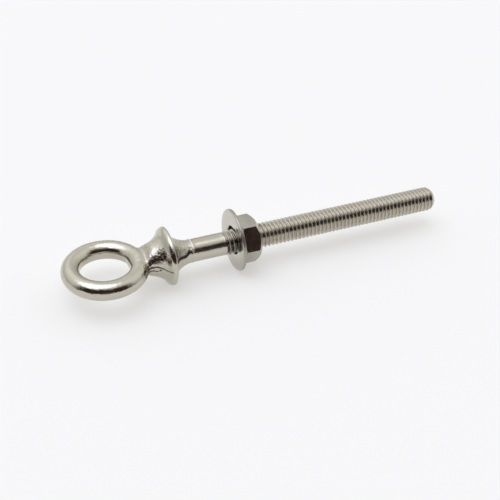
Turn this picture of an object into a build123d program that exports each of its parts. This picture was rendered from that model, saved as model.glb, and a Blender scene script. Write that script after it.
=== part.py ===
"""Eye bolt with a forged eye and collar, a plain washer and a hexagon nut.

The bolt lies along X with its thread end at +X. The eye lies in the XY plane and +Z is up. The
origin is on the bolt's axis, in the plane of the collar's flat bearing face. Lengths are in
millimetres, angles in degrees.
"""
import os
from math import atan2, cos, radians, sin, tan

from build123d import *

# ---- driving dimensions -------------------------------------------------------------------------

# metric coarse thread, M6 x 1; the threaded length is drawn at its major diameter
THREAD_DIAMETER = 6.0

# the shank, measured from the collar's bearing face
SHANK_LENGTH = 69.0
SHANK_DIAMETER = 5.5
THREAD_START = 13.4
THREAD_END_CHAMFER = 0.9

# the eye: a closed ring of round section, forged in one with the neck
EYE_INNER_DIAMETER = 11.2
EYE_BAR_DIAMETER = 4.4
EYE_CENTRE = -15.4
EYE_BLEND_RADIUS = 1.0

# the neck between the eye and the collar: its narrowest round section, and the free curve that
# rounds it off into the eye's bar. The curve runs from its root over its shoulder, joins the
# flare's arc at the neck's slope and follows it to the flare's start slope.
NECK_DIAMETER = 7.3
NECK_END = -6.5
NECK_SLOPE = 7.0
NECK_SHOULDER = (-7.4, 3.1)
NECK_ROOT = (-8.8, 1.3)
NECK_ROOT_SLOPE = 50.0
FLARE_START_SLOPE = 26.0

# the collar: a trumpet flare on the eye's side, a rounded rim, a flat bearing face behind it
COLLAR_DIAMETER = 14.0
COLLAR_RIM_RADIUS = 0.6
SEAT_INNER_DIAMETER = 10.6
SEAT_FLARE_LENGTH = 5.1

# plain washer; it is loose on the thread, so its bore nearly rests on the thread's underside
WASHER_DIAMETER = 14.8
WASHER_BORE = 6.9
WASHER_THICKNESS = 0.8
WASHER_EDGE_CHAMFER = 0.12
WASHER_LIFT = 0.4

# hexagon nut, chamfered on both faces; its bore is drawn with running clearance on the thread
NUT_SIDES = 6
NUT_ACROSS_FLATS = 10.0
NUT_HEIGHT = 4.6
NUT_FACE = 16.35
NUT_CHAMFER_START = 9.5
NUT_CHAMFER_ANGLE = 30.0
NUT_BORE_CLEARANCE = 0.05
NUT_BORE_COUNTERSINK = 0.35
NUT_TURN = 2.0

# ---- sizes that follow --------------------------------------------------------------------------

eye_bar_radius = EYE_BAR_DIAMETER / 2
eye_mean_radius = EYE_INNER_DIAMETER / 2 + eye_bar_radius
neck_radius = NECK_DIAMETER / 2
shank_radius = SHANK_DIAMETER / 2
thread_radius = THREAD_DIAMETER / 2
seat_inner_radius = SEAT_INNER_DIAMETER / 2


def tangent_arc_radius(run, rise):
    """Radius of an arc that leaves a line along X and climbs by rise over a length run."""
    return (run**2 + rise**2) / (2 * rise)


# ---- eye bolt: eye, neck, collar and shank are one forging --------------------------------------

rim_centre = (-COLLAR_RIM_RADIUS, COLLAR_DIAMETER / 2 - COLLAR_RIM_RADIUS)

# The flare leaves the neck along X and meets the round rim smoothly. The distance between the two
# arcs' centres is the sum of their radii, which gives the flare's radius.
flare_run = rim_centre[0] - NECK_END
flare_rise = rim_centre[1] - neck_radius
flare_radius = (flare_run**2 + flare_rise**2 - COLLAR_RIM_RADIUS**2) / (
    2 * (flare_rise + COLLAR_RIM_RADIUS)
)
flare_centre = (NECK_END, neck_radius + flare_radius)
flare_angle = atan2(rim_centre[1] - flare_centre[1], rim_centre[0] - flare_centre[0])


def on_flare(angle):
    """A point of the flare's arc, at an angle about its centre."""
    return (
        flare_centre[0] + flare_radius * cos(angle),
        flare_centre[1] + flare_radius * sin(angle),
    )


def on_rim(angle):
    """A point of the rim's arc, at an angle about its centre."""
    return (
        rim_centre[0] + COLLAR_RIM_RADIUS * cos(angle),
        rim_centre[1] + COLLAR_RIM_RADIUS * sin(angle),
    )


def slope_direction(slope):
    """Direction of an outline that climbs away from the axis at a slope in degrees."""
    return (cos(radians(slope)), sin(radians(slope)))


neck_angle = radians(NECK_SLOPE - 90)
flare_start_angle = radians(FLARE_START_SLOPE - 90)
flare_middle_angle = (flare_start_angle + flare_angle) / 2
rim_start_angle = flare_angle + radians(180)
thread_step = thread_radius - shank_radius
seat_flare_radius = tangent_arc_radius(SEAT_FLARE_LENGTH, seat_inner_radius - shank_radius)

with BuildPart() as eye_bolt:
    with BuildSketch(Plane.XZ):
        with Locations((EYE_CENTRE - eye_mean_radius, 0)):
            Circle(eye_bar_radius)
    revolve(axis=Axis((EYE_CENTRE, 0, 0), (0, 0, 1)))

    with BuildSketch(Plane.XY):
        with BuildLine():
            Line((NECK_ROOT[0], 0), NECK_ROOT)
            Spline(
                NECK_ROOT,
                NECK_SHOULDER,
                on_flare(neck_angle),
                on_flare(flare_start_angle),
                tangents=[slope_direction(NECK_ROOT_SLOPE), slope_direction(FLARE_START_SLOPE)],
            )
            ThreePointArc(
                on_flare(flare_start_angle),
                on_flare(flare_middle_angle),
                on_flare(flare_angle),
            )
            ThreePointArc(on_rim(rim_start_angle), on_rim(rim_start_angle / 2), on_rim(0))
            Line(on_rim(0), (0, seat_inner_radius))
            RadiusArc(
                (0, seat_inner_radius), (SEAT_FLARE_LENGTH, shank_radius), -seat_flare_radius
            )
            Polyline(
                (SEAT_FLARE_LENGTH, shank_radius),
                (THREAD_START - thread_step, shank_radius),
                (THREAD_START, thread_radius),
                (SHANK_LENGTH - THREAD_END_CHAMFER, thread_radius),
                (SHANK_LENGTH, thread_radius - THREAD_END_CHAMFER),
                (SHANK_LENGTH, 0),
                (NECK_ROOT[0], 0),
            )
        make_face()
    revolve(axis=Axis.X)

    # the crease where the eye's bar runs into the neck is one closed edge
    crease = eye_bolt.edges().filter_by(GeomType.BSPLINE).sort_by(Axis.X)[0]
    fillet(crease, EYE_BLEND_RADIUS)
eye_bolt.part.label = "eye_bolt"

# ---- washer -------------------------------------------------------------------------------------

with BuildPart() as washer:
    with BuildSketch(Plane.YZ.offset(NUT_FACE - WASHER_THICKNESS)):
        with Locations((0, WASHER_LIFT)):
            Circle(WASHER_DIAMETER / 2)
            Circle(WASHER_BORE / 2, mode=Mode.SUBTRACT)
    extrude(amount=WASHER_THICKNESS)
    rim_edges = washer.edges().filter_by(GeomType.CIRCLE).sort_by(SortBy.RADIUS)[-2:]
    chamfer(rim_edges, WASHER_EDGE_CHAMFER)
washer.part.label = "washer"

# ---- nut ----------------------------------------------------------------------------------------

nut_bore_radius = thread_radius + NUT_BORE_CLEARANCE
nut_corner_radius = NUT_ACROSS_FLATS / 2 / cos(radians(180 / NUT_SIDES))
# the chamfer cones start a little inside the flats, as on a turned nut
nut_land_radius = NUT_CHAMFER_START / 2
nut_chamfer_drop = (nut_corner_radius - nut_land_radius) * tan(radians(NUT_CHAMFER_ANGLE))

with BuildPart() as nut:
    with BuildSketch(Plane.YZ.offset(NUT_FACE)):
        RegularPolygon(NUT_ACROSS_FLATS / 2, NUT_SIDES, major_radius=False, rotation=NUT_TURN)
        Circle(nut_bore_radius, mode=Mode.SUBTRACT)
    extrude(amount=NUT_HEIGHT)
    with BuildSketch(Plane.XY):
        with BuildLine():
            Polyline(
                (NUT_FACE, 0),
                (NUT_FACE, nut_land_radius),
                (NUT_FACE + nut_chamfer_drop, nut_corner_radius),
                (NUT_FACE + NUT_HEIGHT - nut_chamfer_drop, nut_corner_radius),
                (NUT_FACE + NUT_HEIGHT, nut_land_radius),
                (NUT_FACE + NUT_HEIGHT, 0),
                (NUT_FACE, 0),
            )
        make_face()
    revolve(axis=Axis.X, mode=Mode.INTERSECT)
    bore_mouths = nut.edges().filter_by(GeomType.CIRCLE).sort_by(SortBy.RADIUS)[:2]
    chamfer(bore_mouths, NUT_BORE_COUNTERSINK)
nut.part.label = "nut"

# ---- files --------------------------------------------------------------------------------------

os.makedirs("parts", exist_ok=True)
export_step(eye_bolt.part, "parts/eye_bolt.step")
export_step(washer.part, "parts/washer.step")
export_step(nut.part, "parts/nut.step")
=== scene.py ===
"""The looks of a stainless steel eye bolt with its washer and nut, lying on a pale floor.

The bolt lies along X with its thread end at +X, the eye's ring lies in the XY plane and +Z is up.
Sizes are written in millimetres and turned into metres with MM.
"""

from math import asin, atan2, cos, exp, hypot, pi, radians, sin, sqrt, tan

import bmesh
import bpy
from mathutils import Matrix, Vector


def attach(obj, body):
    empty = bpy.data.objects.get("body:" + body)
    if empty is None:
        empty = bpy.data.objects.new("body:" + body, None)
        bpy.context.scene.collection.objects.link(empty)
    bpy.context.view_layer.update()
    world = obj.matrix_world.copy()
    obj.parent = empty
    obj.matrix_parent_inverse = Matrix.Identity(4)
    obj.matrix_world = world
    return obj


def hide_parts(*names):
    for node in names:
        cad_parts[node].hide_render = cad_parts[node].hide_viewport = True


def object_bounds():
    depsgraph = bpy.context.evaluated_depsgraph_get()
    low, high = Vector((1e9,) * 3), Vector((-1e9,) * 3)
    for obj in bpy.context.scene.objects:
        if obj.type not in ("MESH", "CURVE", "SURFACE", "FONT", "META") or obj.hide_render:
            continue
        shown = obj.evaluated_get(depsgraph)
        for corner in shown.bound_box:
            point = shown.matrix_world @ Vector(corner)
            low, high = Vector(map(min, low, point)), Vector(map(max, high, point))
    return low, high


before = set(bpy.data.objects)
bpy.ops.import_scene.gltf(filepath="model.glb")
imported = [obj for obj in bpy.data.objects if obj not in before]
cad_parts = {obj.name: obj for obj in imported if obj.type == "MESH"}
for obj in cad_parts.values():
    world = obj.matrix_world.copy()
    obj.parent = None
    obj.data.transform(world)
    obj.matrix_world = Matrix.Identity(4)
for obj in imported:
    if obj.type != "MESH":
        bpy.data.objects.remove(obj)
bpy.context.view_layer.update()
MM = 0.001

# ==== eye bolt: the forged eye and neck ==========================================================
# The bolt is one forging of stainless steel, tumbled bright: a closed ring of round bar that runs
# into a round neck, which opens like a trumpet into the collar. The dies met in the ring's plane
# and left a low, wandering parting line along both sides of the neck.

EYE_CENTRE = Vector((-15.4, 0, 0)) * MM
EYE_RADIUS = 7.8 * MM
BAR_RADIUS = 2.2 * MM
RING_SEGMENTS = 30
BAR_SEGMENTS = 12
NECK_SEGMENTS = 24
NECK_STEP = radians(360 / NECK_SEGMENTS)

# the neck opens in the ring's cage within these angles around the ring and around its bar
OPENING_RING_ANGLE = 24
OPENING_BAR_ANGLE = 120
# points of the opening's edge, as (around the ring, around the bar), and where they slide to around
# the ring
OPENING_SLIDES = {(24, 90): 18, (24, 120): 12, (12, 120): 6, (36, 120): 30, (36, 90): 33}

# rows of the neck's cage: station and radius in the ring's plane, station and radius straight above
# and below, and how late the row goes from one to the other
NECK_ROWS = (
    ((-6.4, 4.41), (-8.17, 2.07), 1.78),
    ((-5.85, 3.86), (-7.62, 3.21), 1.38),
    ((-5.4, 3.68), (-6.1, 3.6), 2.0),
    ((-4.3, 4.06), (-4.3, 4.06), 2.0),
)


def shrink(segments):
    """The share of a cage loop's radius that is left after Subdivision Surface."""
    return (4 + 2 * cos(2 * pi / segments)) / 6


def choose(*objects):
    """Selects only these objects and makes the last one active."""
    bpy.ops.object.select_all(action="DESELECT")
    for obj in objects:
        obj.select_set(True)
        bpy.context.view_layer.objects.active = obj


def start_edit(obj):
    """Opens one object in edit mode with nothing selected."""
    choose(obj)
    bpy.ops.object.mode_set(mode="EDIT")
    bpy.ops.mesh.select_all(action="DESELECT")


def select(kind, test):
    """Selects only the verts, edges or faces of the edited mesh whose middle passes the test."""
    modes = {"verts": "VERT", "edges": "EDGE", "faces": "FACE"}
    bpy.ops.mesh.select_mode(type=modes[kind])
    bpy.ops.mesh.select_all(action="DESELECT")
    data = bpy.context.edit_object.data
    mesh = bmesh.from_edit_mesh(data)
    for part in getattr(mesh, kind):
        corners = [part] if kind == "verts" else part.verts
        middle = sum((corner.co for corner in corners), Vector()) / len(corners)
        part.select = test(middle)
    mesh.select_flush_mode()
    bmesh.update_edit_mesh(data)


def selected_places():
    """Where the edited mesh's selected vertices are, by index."""
    mesh = bmesh.from_edit_mesh(bpy.context.edit_object.data)
    return {vert.index: vert.co.copy() for vert in mesh.verts if vert.select}


def move_each(targets):
    """Moves single vertices of the edited mesh, given as index and new place, to their places."""
    bpy.ops.mesh.select_mode(type="VERT")
    data = bpy.context.edit_object.data
    for index, target in targets.items():
        bpy.ops.mesh.select_all(action="DESELECT")
        mesh = bmesh.from_edit_mesh(data)
        mesh.verts.ensure_lookup_table()
        vert = mesh.verts[index]
        vert.select = True
        mesh.select_flush_mode()
        bpy.ops.transform.translate(value=target - vert.co)


def select_open_edges():
    """Selects the open rim of the edited mesh."""
    bpy.ops.mesh.select_mode(type="EDGE")
    bpy.ops.mesh.select_all(action="DESELECT")
    bpy.ops.mesh.select_non_manifold(
        extend=False, use_wire=False, use_boundary=True, use_multi_face=False,
        use_non_contiguous=False, use_verts=False,
    )


def face_outwards():
    """Turns all faces of the edited mesh outwards."""
    bpy.ops.mesh.select_all(action="SELECT")
    bpy.ops.mesh.normals_make_consistent(inside=False)


def ring_angles(place):
    """Angle around the ring from +X and angle around the bar from outside, in degrees."""
    arm = place - EYE_CENTRE
    around = atan2(arm.y, arm.x)
    out = hypot(arm.x, arm.y) * shrink(RING_SEGMENTS) - EYE_RADIUS
    over = atan2(arm.z * shrink(BAR_SEGMENTS), out)
    return around / radians(1), over / radians(1)


def in_opening(middle):
    """Whether a face of the ring's cage lies where the neck opens."""
    around, over = ring_angles(middle)
    return abs(around) < OPENING_RING_ANGLE and abs(over) < OPENING_BAR_ANGLE


def at_corner(place, around, over):
    """Whether a point of the cage lies at these angles, above or below the ring's plane."""
    place_around, place_over = ring_angles(place)
    return abs(place_around - around) < 1 and abs(abs(place_over) - over) < 1


bpy.ops.object.select_all(action="DESELECT")
bpy.ops.mesh.primitive_torus_add(
    major_segments=RING_SEGMENTS,
    minor_segments=BAR_SEGMENTS,
    major_radius=EYE_RADIUS,
    minor_radius=BAR_RADIUS / shrink(BAR_SEGMENTS),
    location=EYE_CENTRE,
)
eye_bolt = bpy.context.object
eye_bolt.name = "forged_eye_bolt"
bpy.ops.object.transform_apply(location=True, rotation=True, scale=True)
start_edit(eye_bolt)
bpy.ops.mesh.select_all(action="SELECT")
widen = 1 / shrink(RING_SEGMENTS)
bpy.ops.transform.resize(value=(widen, widen, 1), center_override=EYE_CENTRE)

select("faces", in_opening)
bpy.ops.mesh.delete(type="FACE")
for (around, over), new_around in OPENING_SLIDES.items():
    for side in (1, -1):
        select("verts", lambda place: at_corner(place, side * around, over))
        turned = {}
        for index, place in selected_places().items():
            arm = place - EYE_CENTRE
            reach = hypot(arm.x, arm.y)
            angle = side * radians(new_around)
            turned[index] = EYE_CENTRE + Vector((reach * cos(angle), reach * sin(angle), arm.z))
        move_each(turned)

for (side_x, side_r), (top_x, top_r), climb in NECK_ROWS:
    select_open_edges()
    bpy.ops.mesh.extrude_edges_move()
    row = {}
    for index, place in selected_places().items():
        angle = round(atan2(place.z, place.y) / NECK_STEP) * NECK_STEP
        share = abs(sin(angle)) ** climb
        radius = (side_r + (top_r - side_r) * share) / shrink(NECK_SEGMENTS)
        station = side_x + (top_x - side_x) * share
        row[index] = Vector((station, radius * cos(angle), radius * sin(angle))) * MM
    move_each(row)

face_outwards()
bpy.ops.object.mode_set(mode="OBJECT")
rounding = eye_bolt.modifiers.new("rounding", "SUBSURF")
rounding.levels = rounding.render_levels = 3
rounding.boundary_smooth = "ALL"
bpy.ops.object.modifier_apply(modifier=rounding.name)

# The cage is close to the forging's real form. Its finished surface is settled onto that form
# here: the ring, a shoulder that thickens the bar towards the neck, and the round neck, which runs
# into them with a tight crease.
SHOULDER_CENTRE = Vector((-6.3, 0, 0))
SHOULDER_HALF = Vector((3.3, 3.7, 2.1))
SHOULDER_BLEND = 1.2
CREASE_BLEND = 0.4
# where the flare's arc comes nearest to the axis; the neck's outline joins the arc past it
NECK_END = -6.5
NECK_RADIUS = 3.65
FLARE_RADIUS = 6.27
FLARE_CENTRE = (NECK_END, NECK_RADIUS + FLARE_RADIUS)
NECK_TIP = -8.8
NECK_TIP_CLIMB = radians(50)
NECK_JOIN_CLIMB = radians(7)
# the neck's outline from its tip to where it joins the flare's arc: station, radius and slope
NECK_OUTLINE = (
    (NECK_TIP, 1.3, tan(NECK_TIP_CLIMB)),
    (-7.4, 3.1, 0.62),
    (
        FLARE_CENTRE[0] + FLARE_RADIUS * sin(NECK_JOIN_CLIMB),
        FLARE_CENTRE[1] - FLARE_RADIUS * cos(NECK_JOIN_CLIMB),
        tan(NECK_JOIN_CLIMB),
    ),
)
# the dies pressed the neck's end down to a slope above and below: a place on it, and its climb
SLOPE_PLACE = (-6.4, 1.84)
SLOPE_CLIMB = radians(50)
SLOPE_BLEND = 0.5
SETTLE_START = -11.6
SETTLE_ROUNDS = 4
# a step short enough to measure the form's slope with
PROBE = 0.01


def ease(share):
    """Turns an even climb from 0 to 1 into one that starts and ends gently."""
    return share * share * (3 - 2 * share)


def neck_radius(station):
    """The neck's radius: a cubic curve between the outline's points, then the flare's arc."""
    for (start, low, leave), (end, high, arrive) in zip(NECK_OUTLINE, NECK_OUTLINE[1:]):
        if station < end:
            share = max((station - start) / (end - start), 0)
            bend = (end - start) * share * (1 - share)
            bend *= (1 - share) * leave - share * arrive
            return low + (high - low) * ease(share) + bend
    return FLARE_CENTRE[1] - sqrt(FLARE_RADIUS**2 - (station - FLARE_CENTRE[0]) ** 2)


def blend(near, far, width):
    """The union of two forms whose joint is filled over a width."""
    overlap = max(width - abs(near - far), 0) / width
    return min(near, far) - overlap * overlap * width / 4


def outside(place):
    """How far a place lies outside the forging, in millimetres."""
    ring = hypot(hypot(place.x - EYE_CENTRE.x / MM, place.y) - EYE_RADIUS / MM, place.z)
    ring -= BAR_RADIUS / MM
    arm = place - SHOULDER_CENTRE
    scaled = Vector(axis / half for axis, half in zip(arm, SHOULDER_HALF))
    steep = Vector(axis / half for axis, half in zip(scaled, SHOULDER_HALF))
    shoulder = scaled.length * (scaled.length - 1) / steep.length
    slope = (neck_radius(place.x + PROBE) - neck_radius(place.x - PROBE)) / (2 * PROBE)
    neck = (hypot(place.y, place.z) - neck_radius(place.x)) / hypot(1, slope)
    neck = max(neck, NECK_TIP - place.x)
    sloped = (abs(place.z) - SLOPE_PLACE[1]) * cos(SLOPE_CLIMB)
    sloped -= (place.x - SLOPE_PLACE[0]) * sin(SLOPE_CLIMB)
    neck = -blend(-neck, -sloped, SLOPE_BLEND)
    return blend(blend(ring, shoulder, SHOULDER_BLEND), neck, CREASE_BLEND)


def settle(place):
    """Moves a place in millimetres straight onto the forging's surface."""
    for _ in range(SETTLE_ROUNDS):
        here = outside(place)
        steps = (Vector((PROBE, 0, 0)), Vector((0, PROBE, 0)), Vector((0, 0, PROBE)))
        climb = Vector(outside(place + step) - here for step in steps)
        place = place - climb.normalized() * here
    return place


for vert in eye_bolt.data.vertices:
    if vert.co.x > SETTLE_START * MM:
        vert.co = settle(vert.co / MM) * MM

# ==== eye bolt: collar and plain shank ===========================================================
# The flare ends in a round rim. Behind it a flat ring bears on the panel, and a short flare runs
# down to the plain shank, which is turned: a low step shows where the tool stopped.

FLARE_ROWS = 9
FLARE_END_CLIMB = radians(42)
# the rim, fuller on the eye's side than on the panel's side: two curves, each from its start to its
# end past two points that pull it
RIM_RISE = ((-2.304, 5.261), (-1.665, 5.817), (-1.567, 6.819), (-0.5, 6.985))
RIM_FALL = ((-0.5, 6.985), (-0.11, 6.985), (0, 6.59), (0, 6.44))
RIM_RISE_ROWS = 11
RIM_FALL_ROWS = 5
SEAT_INNER_RADIUS = 5.3
SEAT_EDGE_RADIUS = 0.12
SEAT_FLARE_LENGTH = 5.1
SHANK_RADIUS = 2.75
SEAT_FLARE_ROWS = 10
# the turning tool's step: where and how high, and its outline as distance past that place and share
# of the height
STEP_STATION = 5.0
STEP_HEIGHT = 0.09
STEP_OUTLINE = ((-0.15, 0.4), (0, 1), (0.2, 0.8), (0.35, 0))
SHANK_ROW_SPACING = 1.0
THREAD_START = 12.6


def turn_to(station, radius):
    """Extrudes the selected open loop to a circle at a station along the bolt."""
    bpy.ops.mesh.extrude_edges_move()
    places = selected_places().values()
    now_x = sum(place.x for place in places) / len(places)
    now_radius = sum(hypot(place.y, place.z) for place in places) / len(places)
    scale = radius * MM / now_radius
    bpy.ops.transform.translate(value=(station * MM - now_x, 0, 0))
    bpy.ops.transform.resize(value=(0, scale, scale), center_override=(station * MM, 0, 0))


def curve_points(corners, rows):
    """Points along a curve, after its start: the two middle ones of its four corners pull it."""
    points = []
    for row in range(1, rows + 1):
        share = row / rows
        rest = 1 - share
        weights = (rest**3, 3 * rest**2 * share, 3 * rest * share**2, share**3)
        station = sum(weight * corner[0] for weight, corner in zip(weights, corners))
        radius = sum(weight * corner[1] for weight, corner in zip(weights, corners))
        points.append((station, radius))
    return points


flare_start_climb = asin((NECK_ROWS[-1][0][0] - FLARE_CENTRE[0]) / FLARE_RADIUS)
seat_flare_rise = SEAT_INNER_RADIUS - SHANK_RADIUS
seat_flare_radius = (SEAT_FLARE_LENGTH**2 + seat_flare_rise**2) / (2 * seat_flare_rise)
outline = []
for row in range(1, FLARE_ROWS + 1):
    climb = flare_start_climb + (FLARE_END_CLIMB - flare_start_climb) * row / FLARE_ROWS
    station = FLARE_CENTRE[0] + FLARE_RADIUS * sin(climb)
    outline.append((station, FLARE_CENTRE[1] - FLARE_RADIUS * cos(climb)))
outline += curve_points(RIM_RISE, RIM_RISE_ROWS) + curve_points(RIM_FALL, RIM_FALL_ROWS)
outline.append((0, SEAT_INNER_RADIUS + SEAT_EDGE_RADIUS))
for row in range(1, SEAT_FLARE_ROWS):
    station = SEAT_FLARE_LENGTH * row / SEAT_FLARE_ROWS
    drop = seat_flare_radius - sqrt(seat_flare_radius**2 - (SEAT_FLARE_LENGTH - station) ** 2)
    outline.append((station, SHANK_RADIUS + drop))
for past, share in STEP_OUTLINE:
    outline.append((STEP_STATION + past, SHANK_RADIUS + STEP_HEIGHT * share))
station = STEP_STATION + SHANK_ROW_SPACING
while station < THREAD_START:
    outline.append((station, SHANK_RADIUS))
    station += SHANK_ROW_SPACING
outline.append((THREAD_START, SHANK_RADIUS))

start_edit(eye_bolt)
select_open_edges()
for station, radius in outline:
    turn_to(station, radius)
bpy.ops.object.mode_set(mode="OBJECT")

# ==== eye bolt: rolled thread ====================================================================
# The thread is rolled, not cut: a right-hand metric coarse form with 1 mm pitch, a narrow crest and
# a rounded root. It fades in over one turn at the shank and ends rounded.

PITCH = 1.0
THREAD_RADIUS = 2.955
THREAD_ROOT_RADIUS = 2.42
# half a turn's outline between the crest's middle and the root's: distance along and radius
THREAD_FLANK = (
    (0.06, 2.95), (0.095, 2.93), (0.20, 2.765), (0.30, 2.615), (0.395, 2.475), (0.44, 2.435),
)
THREAD_OUTLINE = (
    (0, THREAD_RADIUS),
    *THREAD_FLANK,
    (PITCH / 2, THREAD_ROOT_RADIUS),
    *((PITCH - along, radius) for along, radius in reversed(THREAD_FLANK)),
    (PITCH, THREAD_RADIUS),
)
# steps around one turn
THREAD_STEPS = 60
# station of the first crest on the bolt's -Y side, before the thread is cut to length
THREAD_PHASE = 11.2
THREAD_TURNS = 59
# the helix is cut off this far past the shank's last row, and joined to it
THREAD_GAP = 0.2
RUN_OUT_START = 12.9
RUN_OUT_END = 13.9
THREAD_END = 69.0
END_ROUND_START = 67.3
END_ROUND_DEPTH = 1.0
END_ROUND_POWER = 2.2
# the end's shallow dish, from its lip to its middle
END_DISH = ((69.0, 1.75), (68.94, 1.5), (68.86, 1.1), (68.82, 0.4))
# places this close count as the same
CLOSE = 0.001


def draw_outline(name, points):
    """A wire through points given as station and radius, on the bolt's -Y side."""
    bpy.ops.object.select_all(action="DESELECT")
    bpy.ops.mesh.primitive_plane_add(size=MM)
    wire = bpy.context.object
    wire.name = name
    start_edit(wire)
    bpy.ops.mesh.select_mode(type="VERT")
    bpy.ops.mesh.select_all(action="SELECT")
    bpy.ops.mesh.merge(type="CENTER")
    bpy.ops.transform.translate(value=(points[0][0] * MM, -points[0][1] * MM, 0))
    for before, after in zip(points, points[1:]):
        step = ((after[0] - before[0]) * MM, (before[1] - after[1]) * MM, 0)
        bpy.ops.mesh.extrude_vertices_move(TRANSFORM_OT_translate={"value": step})
    bpy.ops.object.mode_set(mode="OBJECT")
    return wire


def rolled_thread(name, first_crest, turns, clearance=0.0):
    """A right-hand helix of the thread's outline, open at both ends."""
    points = [(first_crest + along, radius + clearance) for along, radius in THREAD_OUTLINE]
    helix = draw_outline(name, points)
    screw = helix.modifiers.new("screw", "SCREW")
    screw.axis = "X"
    screw.angle = 2 * pi
    screw.screw_offset = PITCH * MM
    screw.iterations = turns
    screw.steps = screw.render_steps = THREAD_STEPS
    bpy.ops.object.modifier_apply(modifier=screw.name)
    start_edit(helix)
    bpy.ops.mesh.select_all(action="SELECT")
    bpy.ops.mesh.remove_doubles(threshold=2 * CLOSE * MM)
    bpy.ops.object.mode_set(mode="OBJECT")
    return helix


def cut_across(station, keep_below):
    """Cuts the edited mesh at a station, and keeps one side."""
    bpy.ops.mesh.select_all(action="SELECT")
    bpy.ops.mesh.bisect(
        plane_co=(station * MM, 0, 0), plane_no=(1, 0, 0), threshold=0.0001 * MM,
        clear_outer=keep_below, clear_inner=not keep_below,
    )


thread = rolled_thread("thread", THREAD_PHASE, THREAD_TURNS)
for vert in thread.data.vertices:
    station = vert.co.x / MM
    radius = hypot(vert.co.y, vert.co.z) / MM
    share = min(max((station - RUN_OUT_START) / (RUN_OUT_END - RUN_OUT_START), 0), 1)
    shaped = SHANK_RADIUS + (radius - SHANK_RADIUS) * ease(share)
    end = max(station - END_ROUND_START, 0) / (THREAD_END - END_ROUND_START)
    shaped = min(shaped, THREAD_RADIUS - END_ROUND_DEPTH * end**END_ROUND_POWER)
    vert.co.yz *= shaped / radius

start_edit(thread)
cut_across(THREAD_START + THREAD_GAP, keep_below=False)
cut_across(THREAD_END, keep_below=True)
select("edges", lambda middle: middle.x > (THREAD_END - CLOSE) * MM)
for station, radius in END_DISH:
    turn_to(station, radius)
bpy.ops.mesh.merge(type="CENTER")
bpy.ops.object.mode_set(mode="OBJECT")

choose(thread, eye_bolt)
bpy.ops.object.join()
start_edit(eye_bolt)
select_open_edges()
bpy.ops.mesh.bridge_edge_loops()
face_outwards()
bpy.ops.object.mode_set(mode="OBJECT")

# ==== eye bolt: what forging and tumbling left, and the finish ===================================
# Hammer dies leave the eye, neck and collar slightly wavy, and their parting line stands a little
# proud at both sides. The whole bolt is tumbled bright and then left as it is: the neck keeps an
# orange-peel skin, and the shank keeps the turning tool's rings.

WAVE_SIZE = 2.4
WAVE_HEIGHT = 0.05
WAVE_END = 2.0
WAVE_FADE = 3.0
# folds along the dies' parting line: their run as station and height, how far they stand proud,
# and their half width
FOLDS = (
    (((-7.9, 0.3), (-5.0, 0.44), (-4.3, 0.52), (-3.3, 0.3), (-2.3, -0.12), (-0.6, 0)), 0.09, 0.2),
    (((-7.9, -0.3), (-5.1, -0.41), (-4.3, -0.55), (-3.1, -0.15)), 0.09, 0.2),
    (((0.1, 0.9), (1.2, 1.3), (2.2, 1.05), (3.0, 1.0), (4.0, 1.5), (5.0, 1.25)), 0.15, 0.62),
)
# how the folds wander: height of the wave, and how fast it comes and goes along the bolt
FOLD_WANDERS = ((0.05, 9), (0.03, 23))
FOLD_FADE = 0.3

forged = eye_bolt.vertex_groups.new(name="forged")
for vert in eye_bolt.data.vertices:
    share = min(max((WAVE_END + WAVE_FADE - vert.co.x / MM) / WAVE_FADE, 0), 1)
    if share > 0:
        forged.add([vert.index], share, "REPLACE")
waves = bpy.data.textures.new("forging_waves", type="CLOUDS")
waves.noise_scale = WAVE_SIZE * MM
waves.noise_depth = 1
swell = eye_bolt.modifiers.new("forging_waves", "DISPLACE")
swell.texture = waves
swell.texture_coords = "LOCAL"
swell.vertex_group = "forged"
swell.strength = WAVE_HEIGHT * MM
swell.mid_level = 0.5
choose(eye_bolt)
bpy.ops.object.modifier_apply(modifier=swell.name)
eye_bolt.vertex_groups.clear()


def run_height(run, station):
    """A fold's height above the ring's plane at a station, or nothing past its ends."""
    for (start, low), (end, high) in zip(run, run[1:]):
        if start <= station <= end:
            return low + (high - low) * (station - start) / (end - start)


def fold_lift(run, rise, width, station, height):
    """How far a fold lifts the surface at a place: a raised lip, and a dip just above it."""
    middle = run_height(run, station)
    if middle is None:
        return 0
    middle += sum(size * sin(pace * station) for size, pace in FOLD_WANDERS)
    across = (height - middle) / width
    lip = exp(-across * across) - 0.7 * exp(-2 * (across - 1.1) ** 2)
    return rise * lip * min((station - run[0][0]) / FOLD_FADE, (run[-1][0] - station) / FOLD_FADE, 1)


for vert in eye_bolt.data.vertices:
    if hypot(*(vert.co - EYE_CENTRE).xy) > EYE_RADIUS:
        lift = sum(fold_lift(*fold, vert.co.x / MM, vert.co.z / MM) for fold in FOLDS)
        vert.co.yz += lift * MM * vert.co.yz.normalized()

start_edit(eye_bolt)
face_outwards()
bpy.ops.object.mode_set(mode="OBJECT")
SMOOTH_ANGLE = radians(38)
bpy.ops.object.shade_smooth_by_angle(angle=SMOOTH_ANGLE)


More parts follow.
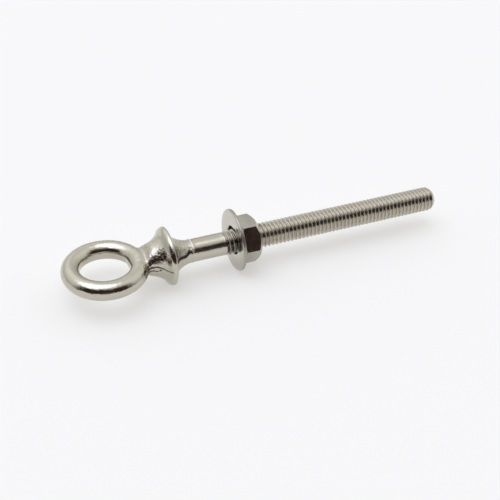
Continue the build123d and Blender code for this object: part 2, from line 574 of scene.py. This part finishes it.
class Shade:
    """A shader socket that adds Math nodes when it is used in arithmetic."""

    def __init__(self, tree, socket=None):
        self.tree, self.socket = tree, socket

    def node(self, kind, settings=None, inputs=None, output=0):
        """Adds one node: its settings first, then the values or links of its sockets."""
        made = self.tree.nodes.new("ShaderNode" + kind)
        for name, value in (settings or {}).items():
            if name == "stops":
                ramp = made.color_ramp
                while len(ramp.elements) < len(value):
                    ramp.elements.new(1)
                for element, (place, shade) in zip(ramp.elements, value):
                    element.position = place
                    element.color = (shade, shade, shade, 1)
            else:
                setattr(made, name, value)
        for name, value in (inputs or {}).items():
            if isinstance(value, Shade):
                self.tree.links.new(value.socket, made.inputs[name])
            else:
                made.inputs[name].default_value = value
        return Shade(self.tree, made.outputs[output] if made.outputs else None)

    def math(self, operation, *values):
        return self.node("Math", {"operation": operation}, dict(enumerate(values)))

    def __add__(self, other):
        return self.math("ADD", self, other)

    def __sub__(self, other):
        return self.math("SUBTRACT", self, other)

    def __rsub__(self, other):
        return self.math("SUBTRACT", other, self)

    def __mul__(self, other):
        return self.math("MULTIPLY", self, other)

    def __truediv__(self, other):
        return self.math("DIVIDE", self, other)

    __radd__ = __add__
    __rmul__ = __mul__

    def fade(self, start, end, low=0.0, high=1.0):
        """Goes smoothly from low to high as the value goes from start to end."""
        return self.node("MapRange", {"interpolation_type": "SMOOTHSTEP"}, {
            "Value": self, "From Min": start, "From Max": end, "To Min": low, "To Max": high,
        })


def start_material(name):
    """A material whose only nodes give its Object coordinates in millimetres."""
    material = bpy.data.materials.new(name)
    material.use_nodes = True
    tree = material.node_tree
    tree.nodes.clear()
    place = Shade(tree).node("TexCoord", output="Object")
    place = place.node("VectorMath", {"operation": "SCALE"}, {0: place, "Scale": 1 / MM})
    return material, place


def coordinate(place, axis):
    """One coordinate of a place."""
    return place.node("SeparateXYZ", inputs={"Vector": place}, output=axis)


def axis_distance(place, height=0):
    """How far a place is from a line along the bolt at a height above the bolt's axis."""
    arm = place.node("VectorMath", {"operation": "SUBTRACT"}, {0: place, 1: (0, 0, height)})
    arm = arm.node("VectorMath", {"operation": "MULTIPLY"}, {0: arm, 1: (0, 1, 1)})
    return arm.node("VectorMath", {"operation": "LENGTH"}, {0: arm}, "Value")


def noise(place, stretch, detail=2):
    """Noise from 0 to 1 over a place whose axes are stretched by three factors."""
    place = place.node("VectorMath", {"operation": "MULTIPLY"}, {0: place, 1: stretch})
    return place.node("TexNoise", inputs={"Vector": place, "Scale": 1, "Detail": detail})


def finish_metal(material, place, colour, roughness, height):
    """Ends a metal material: height in millimetres goes to a Bump node."""
    bump = place.node("Bump", inputs={"Strength": 1.0, "Distance": MM, "Height": height})
    shader = place.node("BsdfPrincipled", inputs={
        "Base Color": colour, "Metallic": 1.0, "Roughness": roughness, "Normal": bump,
    }, output="BSDF")
    place.node("OutputMaterial", inputs={"Surface": shader})


def mix_colour(share, low, high):
    """Goes from one colour to another, each given as three numbers or as a socket."""
    low, high = (tone if isinstance(tone, Shade) else (*tone, 1) for tone in (low, high))
    return share.node("Mix", {"data_type": "RGBA"}, {0: share, 6: low, 7: high}, 2)


STEEL_LIGHT = (0.565, 0.54, 0.455)
STEEL_DARK = (0.50, 0.475, 0.395)
# the next four colours paint light: a highlight on the turning step, and shade in the thread's
# roots, the folds' crevices and beside the washer
STEP_HIGHLIGHT_COLOUR = (0.85, 0.83, 0.78)
ROOT_SHADE_COLOUR = (0.51, 0.465, 0.40)
CREVICE_SHADE_COLOUR = (0.06, 0.045, 0.04)
PAINTED_SHADE_COLOUR = (0.05, 0.04, 0.035)

forged_steel, place = start_material("forged_stainless")
station = coordinate(place, "X")
rise = coordinate(place, "Z")
radius = axis_distance(place)
mottle = noise(place, (0.7, 0.7, 0.7), detail=4)
peel = noise(place, (3.2, 3.2, 3.2))
fine = noise(place, (6, 6, 6), detail=3)
grain = noise(place, (1.5, 1.5, 1.5), detail=1)
rings = noise(place, (7, 0.15, 0.15))
streaks = noise(place, (0.12, 3.5, 3.5))

# the bolt's stretches, each faded in and out along it
ring = station.fade(-7.4, -9.6)
neck = station.fade(-9.6, -7.4) * station.fade(-0.2, -2.0)
rough_neck = neck * station.fade(-1.4, -3.0)
seat = station.fade(0.0, 0.3) * station.fade(5.1, 4.7)
shank = station.fade(0.2, 3.0) * station.fade(13.4, 12.6)
threaded = station.fade(12.8, 13.6)
root_shade = radius.fade(2.9, 2.5) * threaded
crest = radius.fade(2.84, 2.96) * threaded

# painted shade: the folds' crevices are darkened, ragged and with gaps
ragged = noise(place, (1.6, 1.6, 1.6), detail=3) * 0.5 - 0.25
crevice_shade = 0
for run, _, width in FOLDS:
    middle = run[0][1]
    for (start, low), (end, high) in zip(run, run[1:]):
        middle = station.fade(start, end) * (high - low) + middle
    above = rise - middle + ragged
    first, last = run[0][0], run[-1][0]
    inside = station.fade(first, first + 0.5) * station.fade(last, last - 0.5)
    crevice_shade = above.math("ABSOLUTE", above).fade(width, 0.0) * inside + crevice_shade
crevice_shade = (crevice_shade * ragged.fade(-0.16, -0.02) * radius.fade(6.9, 6.5)).fade(0.05, 0.6)

height = fine * (0.006 + rough_neck * 0.01 + seat * 0.03)
height += peel * (0.012 + rough_neck * 0.03 + seat * 0.06)
height += grain * (0.014 + ring * 0.03 + rough_neck * 0.12 + seat * 0.12)
height += rings * shank * 0.006 + streaks * shank * 0.010 - crevice_shade * 0.12
roughness = mottle.fade(0.3, 0.7, 0.12, 0.18) - neck * 0.03 + shank * 0.06
roughness += threaded * 0.05 + crest * 0.22 + crevice_shade * 0.2
colour = mix_colour(mottle, STEEL_DARK, STEEL_LIGHT)
# painted shade: the thread's roots are darker and browner
colour = mix_colour(root_shade, colour, ROOT_SHADE_COLOUR)
# painted highlight: the upper side of the step where the turning tool stopped is lighter
step_highlight = station.fade(STEP_STATION - 0.15, STEP_STATION)
step_highlight *= station.fade(STEP_STATION + 0.4, STEP_STATION + 0.25)
colour = mix_colour(step_highlight * rise.fade(0.9, 1.8), colour, STEP_HIGHLIGHT_COLOUR)
# painted shade darkens the first turns of the thread beside the washer, most of all underneath
first_turns = station.fade(12.9, 13.7) * station.fade(15.9, 15.5)
painted_shade = first_turns * (root_shade * 0.2 + rise.fade(1.7, 0.2) * (root_shade * 0.15 + 0.5))
colour = mix_colour(painted_shade, colour, PAINTED_SHADE_COLOUR)
# painted shade in the folds' crevices
colour = mix_colour(crevice_shade, colour, CREVICE_SHADE_COLOUR)
finish_metal(forged_steel, place, colour, roughness, height)

eye_bolt.data.materials.clear()
eye_bolt.data.materials.append(forged_steel)
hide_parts("eye_bolt")
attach(eye_bolt, "bolt")

# ==== washer =====================================================================================
# A plain washer punched from stainless sheet: the punch rounded the edges of the face it entered
# and left the other face's edges crisp. It lies loose on the thread, a little above its middle.

WASHER_RADIUS = 7.4
WASHER_BORE_RADIUS = 3.45
WASHER_FACE = 15.55
WASHER_THICKNESS = 0.8
WASHER_LIFT = 0.4
WASHER_SIDES = 160
# rounding of the edges where the punch entered, and where it left
WASHER_ROLL = 0.34
WASHER_CRISP = 0.12

washer_centre = (WASHER_FACE * MM, 0, WASHER_LIFT * MM)
bpy.ops.object.select_all(action="DESELECT")
bpy.ops.mesh.primitive_circle_add(
    vertices=WASHER_SIDES, radius=WASHER_BORE_RADIUS * MM, rotation=(0, radians(90), 0),
    location=washer_centre,
)
washer = bpy.context.object
washer.name = "punched_washer"
bpy.ops.object.transform_apply(location=True, rotation=True, scale=True)
start_edit(washer)
bpy.ops.mesh.select_all(action="SELECT")
bpy.ops.mesh.extrude_edges_move()
widen = WASHER_RADIUS / WASHER_BORE_RADIUS
bpy.ops.transform.resize(value=(1, widen, widen), center_override=washer_centre)
bpy.ops.mesh.select_all(action="SELECT")
bpy.ops.mesh.extrude_region_move(
    TRANSFORM_OT_translate={"value": (WASHER_THICKNESS * MM, 0, 0)}
)
face_outwards()


def select_sharp_rims(station):
    """Selects the two round edges of the washer's face at a station."""
    bpy.ops.mesh.select_mode(type="EDGE")
    bpy.ops.mesh.select_all(action="DESELECT")
    bpy.ops.mesh.edges_select_sharp(sharpness=radians(60))
    data = bpy.context.edit_object.data
    mesh = bmesh.from_edit_mesh(data)
    for edge in mesh.edges:
        on_face = all(abs(vert.co.x - station * MM) < CLOSE * MM for vert in edge.verts)
        edge.select = edge.select and on_face
    mesh.select_flush_mode()
    bmesh.update_edit_mesh(data)


select_sharp_rims(WASHER_FACE)
bpy.ops.mesh.bevel(offset=WASHER_ROLL * MM, segments=5, affect="EDGES")
select_sharp_rims(WASHER_FACE + WASHER_THICKNESS)
bpy.ops.mesh.bevel(offset=WASHER_CRISP * MM, segments=2, affect="EDGES")
bpy.ops.object.mode_set(mode="OBJECT")
bpy.ops.object.shade_smooth_by_angle(angle=SMOOTH_ANGLE)

WASHER_LIGHT = (0.56, 0.54, 0.475)
WASHER_DARK = (0.50, 0.48, 0.42)
WASHER_SHEARED = (0.40, 0.37, 0.32)
# how deep from its outside the sheared edge's matt band ends, and how deep it is full
WASHER_SHEARED_EDGE = (0.16, 0.06)

washer_steel, place = start_material("washer_stainless")
mottle = noise(place, (0.6, 0.6, 0.6), detail=4)
fine = noise(place, (6, 6, 6), detail=3)
dents = noise(place, (2.2, 2.2, 2.2))
height = fine * 0.001 + dents * 0.004
edge_depth = WASHER_RADIUS - axis_distance(place, WASHER_LIFT)
sheared = edge_depth.fade(*WASHER_SHEARED_EDGE)
roughness = mottle.fade(0.3, 0.7, 0.05, 0.08) + sheared * 0.3
colour = mix_colour(mottle, WASHER_DARK, WASHER_LIGHT)
colour = mix_colour(sheared, colour, WASHER_SHEARED)
finish_metal(washer_steel, place, colour, roughness, height)
washer.data.materials.append(washer_steel)
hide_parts("washer")
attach(washer, "washer")

# ==== nut ========================================================================================
# A plain hexagon nut, cold formed from stainless steel: its corners are cut back by a cone at both
# faces, and its bore is countersunk at both mouths and tapped.

NUT_SIDES = 6
NUT_ACROSS_FLATS = 10.0
NUT_HEIGHT = 5.0
NUT_FACE = 16.35
NUT_CHAMFER_START = 9.2
NUT_CHAMFER_ANGLE = radians(42)
NUT_TURN = radians(31)
NUT_EDGE_ROUND = 0.16
NUT_EDGE_ANGLE = radians(22)
# the cones that cut the corners back are the ends of a bar a little wider than the nut
CONE_SIDES = 128
CONE_MARGIN = 0.02
NUT_THREAD_CLEARANCE = 0.05
NUT_MOUTH_RADIUS = 3.25
NUT_MINOR_RADIUS = 2.5
# the tap starts on the bolt's own helix, a whole number of turns from its first crest
TAP_START = THREAD_PHASE + 3 * PITCH
TAP_TURNS = 8
TAP_OVERRUN = 0.5

nut_end = NUT_FACE + NUT_HEIGHT
corner_radius = NUT_ACROSS_FLATS / 2 / cos(pi / NUT_SIDES)
chamfer_drop = (corner_radius - NUT_CHAMFER_START / 2) * tan(NUT_CHAMFER_ANGLE)


def add_bar(name, sides, start, end, radius):
    """A solid bar around the bolt's axis from one station to another."""
    bpy.ops.object.select_all(action="DESELECT")
    bpy.ops.mesh.primitive_cylinder_add(
        vertices=sides, radius=radius * MM, depth=(end - start) * MM,
        location=((start + end) / 2 * MM, 0, 0), rotation=(0, radians(90), 0),
    )
    bar = bpy.context.object
    bar.name = name
    bpy.ops.object.transform_apply(location=True, rotation=True, scale=True)
    return bar


def grow_end(station, new_station, scale):
    """Extrudes the edited bar's face at a station to a new station, scaled about the axis."""
    select("faces", lambda middle: abs(middle.x - station * MM) < CLOSE * MM)
    bpy.ops.mesh.extrude_region_move(
        TRANSFORM_OT_translate={"value": ((new_station - station) * MM, 0, 0)}
    )
    bpy.ops.transform.resize(
        value=(1, scale, scale), center_override=(new_station * MM, 0, 0)
    )


def apply_boolean(obj, cutter, operation):
    """Cuts obj with the cutter, or keeps what they share, and deletes the cutter."""
    choose(obj)
    cut = obj.modifiers.new("cut", "BOOLEAN")
    cut.operation = operation
    cut.solver = "EXACT"
    cut.object = cutter
    bpy.ops.object.modifier_apply(modifier=cut.name)
    bpy.data.objects.remove(cutter, do_unlink=True)


nut = add_bar("hexagon_nut", NUT_SIDES, NUT_FACE, nut_end, corner_radius)
start_edit(nut)
bpy.ops.mesh.select_all(action="SELECT")
sides = [face.normal for face in bmesh.from_edit_mesh(nut.data).faces if abs(face.normal.x) < 0.5]
# one flat is turned up from the bolt's -Y side by the nut's turn
flat_turn = atan2(sides[0].z, sides[0].y) - (pi - NUT_TURN)
bpy.ops.transform.rotate(value=flat_turn, orient_axis="X", center_override=(0, 0, 0))
bpy.ops.object.mode_set(mode="OBJECT")

cone_radius = corner_radius + CONE_MARGIN
cone_scale = NUT_CHAMFER_START / 2 / cone_radius
cones = add_bar("cones", CONE_SIDES, NUT_FACE + chamfer_drop, nut_end - chamfer_drop, cone_radius)
start_edit(cones)
grow_end(NUT_FACE + chamfer_drop, NUT_FACE, cone_scale)
grow_end(nut_end - chamfer_drop, nut_end, cone_scale)
bpy.ops.object.mode_set(mode="OBJECT")
apply_boolean(nut, cones, "INTERSECT")

soften = nut.modifiers.new("soften", "BEVEL")
soften.width = NUT_EDGE_ROUND * MM
soften.segments = 3
soften.limit_method = "ANGLE"
soften.angle_limit = NUT_EDGE_ANGLE
bpy.ops.object.modifier_apply(modifier=soften.name)

# the tap's cutter: the bolt's own helix with running clearance, opened out at the bore's mouths
tap = rolled_thread("tap", TAP_START, TAP_TURNS, NUT_THREAD_CLEARANCE)
for vert in tap.data.vertices:
    station = vert.co.x / MM
    radius = hypot(vert.co.y, vert.co.z) / MM
    depth = min(station - NUT_FACE, nut_end - station)
    shaped = max(radius, NUT_MINOR_RADIUS, NUT_MOUTH_RADIUS - depth)
    vert.co.yz *= shaped / radius
start_edit(tap)
cut_across(NUT_FACE - TAP_OVERRUN, keep_below=False)
cut_across(nut_end + TAP_OVERRUN, keep_below=True)
for end in (NUT_FACE - TAP_OVERRUN, nut_end + TAP_OVERRUN):
    select("edges", lambda middle: abs(middle.x - end * MM) < CLOSE * MM)
    bpy.ops.mesh.edge_face_add()
face_outwards()
bpy.ops.object.mode_set(mode="OBJECT")
apply_boolean(nut, tap, "DIFFERENCE")
choose(nut)
bpy.ops.object.shade_smooth_by_angle(angle=SMOOTH_ANGLE)

NUT_LIGHT = (0.49, 0.465, 0.405)
NUT_DARK = (0.42, 0.395, 0.34)

nut_steel, place = start_material("nut_stainless")
mottle = noise(place, (0.8, 0.8, 0.8), detail=4)
fine = noise(place, (8, 8, 8), detail=3)
dents = noise(place, (1.6, 1.6, 1.6))
height = fine * 0.002 + dents * 0.006
# painted shade darkens the bore's mouth at the washer
near_washer = coordinate(place, "X").fade(NUT_FACE + 0.6, NUT_FACE + 0.2)
painted_shade = axis_distance(place).fade(4.0, 3.6) * near_washer
roughness = mottle.fade(0.3, 0.7, 0.14, 0.22) + painted_shade * 0.4
colour = mix_colour(painted_shade, mix_colour(mottle, NUT_DARK, NUT_LIGHT), PAINTED_SHADE_COLOUR)
finish_metal(nut_steel, place, colour, roughness, height)
nut.data.materials.append(nut_steel)
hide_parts("nut")
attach(nut, "nut")

# ==== studio =====================================================================================
# The bolt lies on a plain pale floor, on its collar and its washer. Soft light comes from above and
# from behind, and an unlit opening in front of the bolt gives the steel its dark reflections.

FLOOR_SIZE = 8000
FLOOR_COLOUR = (0.48, 0.48, 0.475)
FLOOR_GLOW = 0.47
FLOOR_GLOW_COLOUR = (1, 0.99, 0.965)

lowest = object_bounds()[0].z
bpy.ops.object.select_all(action="DESELECT")
bpy.ops.mesh.primitive_plane_add(size=FLOOR_SIZE * MM, location=(0, 0, lowest))
floor = bpy.context.object
floor.name = "floor"
paper = bpy.data.materials.new("floor_paper")
paper.use_nodes = True
paper.node_tree.nodes.clear()
sheet = Shade(paper.node_tree).node("BsdfPrincipled", inputs={
    "Base Color": (*FLOOR_COLOUR, 1), "Roughness": 0.9,
    "Emission Color": (*FLOOR_GLOW_COLOUR, 1), "Emission Strength": FLOOR_GLOW,
})
sheet.node("OutputMaterial", inputs={"Surface": sheet})
floor.data.materials.append(paper)

# brightness of the room's sides, by degrees turned from the bolt's -Y side towards the thread's end,
# and how it fades in with the height above the floor, in degrees
SIDE_STOPS = (
    (-180, 1.2), (-160, 1.18), (-140, 1.06), (-110, 0.95), (-90, 0.85), (0, 0.85), (50, 0.9),
    (75, 1.0), (100, 1.03), (130, 0.95), (155, 0.86), (170, 1.0), (180, 1.2),
)
SIDE_RISE = (5, 44, 0.65, 1)
# the unlit opening: where each of its soft edges starts and ends, in degrees
DARK_COLOUR = (0.040, 0.023, 0.020)
DARK_LEFT = (-99, -77)
DARK_RIGHT = (70, 36)
DARK_FOOT = (-10, 0)
DARK_TOP = (62, 40)
# the softbox overhead, round, with a soft edge
SOFTBOX_COLOUR = (2.05, 2.12, 2.42)
SOFTBOX_AZIMUTH = radians(-100)
SOFTBOX_ELEVATION = radians(77)
SOFTBOX_EDGE = (34, 21)

world = bpy.data.worlds.new("studio")
world.use_nodes = True
world.node_tree.nodes.clear()
bpy.context.scene.world = world
sky = Shade(world.node_tree).node("TexCoord", output="Generated")
turn = sky.math("ARCTAN2", coordinate(sky, "X"), coordinate(sky, "Y") * -1) / radians(1)
lift = sky.math("ARCSINE", coordinate(sky, "Z")) / radians(1)
# a ramp goes from 0 to 1, so it holds half the brightness
stops = [((angle + 180) / 360, glow / 2) for angle, glow in SIDE_STOPS]
side = turn.node("ValToRGB", {"stops": stops}, {"Fac": turn / 360 + 0.5}) * 2
side *= lift.fade(*SIDE_RISE)
softbox_middle = (
    sin(SOFTBOX_AZIMUTH) * cos(SOFTBOX_ELEVATION),
    -cos(SOFTBOX_AZIMUTH) * cos(SOFTBOX_ELEVATION),
    sin(SOFTBOX_ELEVATION),
)
facing = sky.node("VectorMath", {"operation": "DOT_PRODUCT"}, {0: sky, 1: softbox_middle}, "Value")
off_middle = facing.math("ARCCOSINE", facing) / radians(1)
softbox = off_middle.fade(*SOFTBOX_EDGE)
opening = turn.fade(*DARK_LEFT) * turn.fade(*DARK_RIGHT)
opening *= lift.fade(*DARK_FOOT) * lift.fade(*DARK_TOP)
shade = opening * (1 - softbox)
glow = side * (1 - softbox)
glow = glow.node("CombineColor", inputs={
    channel: glow + softbox * tone for channel, tone in enumerate(SOFTBOX_COLOUR)
})
light = mix_colour(shade, glow, DARK_COLOUR)
shine = light.node("Background", inputs={"Color": light, "Strength": 1.0})
shine.node("OutputWorld", inputs={"Surface": shine})

# the camera looks from the bolt's -Y side, turned towards the eye and raised
CAMERA_AZIMUTH = radians(-22.826)
CAMERA_ELEVATION = radians(36.047)
CAMERA_ROLL = radians(1.196)
CAMERA_DISTANCE = 245.033
CAMERA_ACROSS = 18.582
CAMERA_UP = 1.241
CAMERA_LENS = 76.354
CLIP_START = 10
CLIP_END = 20000

backward = Vector((
    sin(CAMERA_AZIMUTH) * cos(CAMERA_ELEVATION), -cos(CAMERA_AZIMUTH) * cos(CAMERA_ELEVATION),
    sin(CAMERA_ELEVATION),
))
level = Vector((0, 0, 1)).cross(backward).normalized()
upright = backward.cross(level)
right = cos(CAMERA_ROLL) * level + sin(CAMERA_ROLL) * upright
up = backward.cross(right)
camera_place = (CAMERA_ACROSS * right + CAMERA_UP * up + CAMERA_DISTANCE * backward) * MM
bpy.ops.object.camera_add(location=camera_place)
camera = bpy.context.object
camera.rotation_euler = Matrix((right, up, backward)).transposed().to_euler()
camera.data.lens = CAMERA_LENS
camera.data.clip_start = CLIP_START * MM
camera.data.clip_end = CLIP_END * MM
bpy.context.scene.camera = camera
bpy.context.scene.view_settings.view_transform = "Standard"
